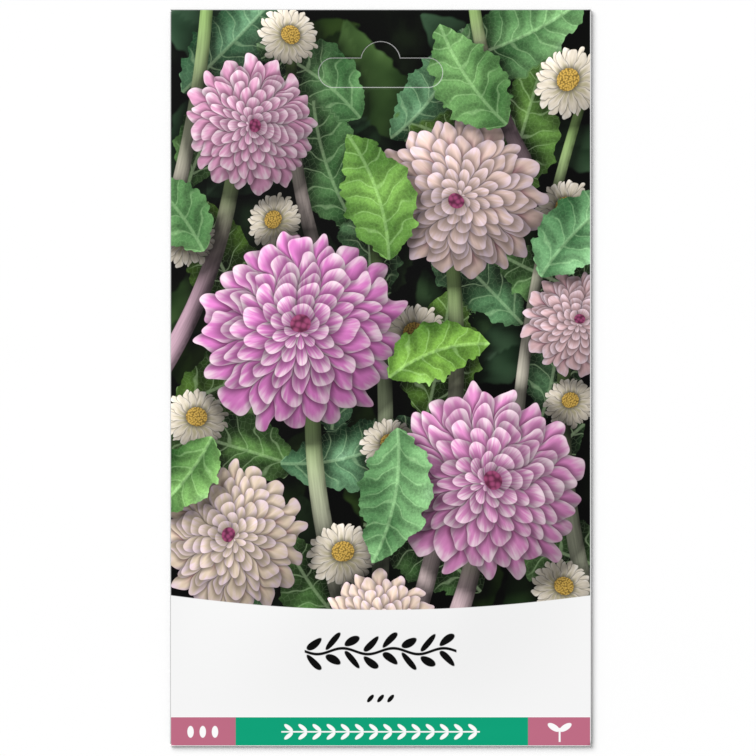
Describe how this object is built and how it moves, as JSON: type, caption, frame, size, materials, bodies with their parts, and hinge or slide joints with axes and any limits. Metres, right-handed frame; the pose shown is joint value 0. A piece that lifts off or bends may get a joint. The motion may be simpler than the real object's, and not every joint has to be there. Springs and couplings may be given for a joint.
{
  "type": "seed packet",
  "caption": "Flat paper seed packet, folded from one printed sheet and glued shut round loose seed, with a euro hang slot whose tab is still in place.",
  "frame": {"origin": "middle of the packet's footprint, on the surface that its back lies on", "axes": "+X to the packet's right, +Y to its head, the end with the hang slot, and +Z out of its printed front"},
  "size_m": [0.1, 0.175, 0.0031],
  "materials": {
    "printed_paper": "satin coated paper, printed on the outside",
    "tab_paper": "satin coated paper, printed on the outside",
    "dried_glue": "smooth, slightly clear",
    "seed_coat": "dull, finely pitted"
  },
  "bodies": {
    "root": {"envelope_sheet": "printed_paper", "front_hang_tab": "tab_paper", "back_hang_tab": "tab_paper", "flap_hang_tab": "tab_paper", "seam_glue": "dried_glue", "foot_flap_glue": "dried_glue", "head_flap_glue": "dried_glue", "seed_charge": "seed_coat"}
  },
  "joints": []
}
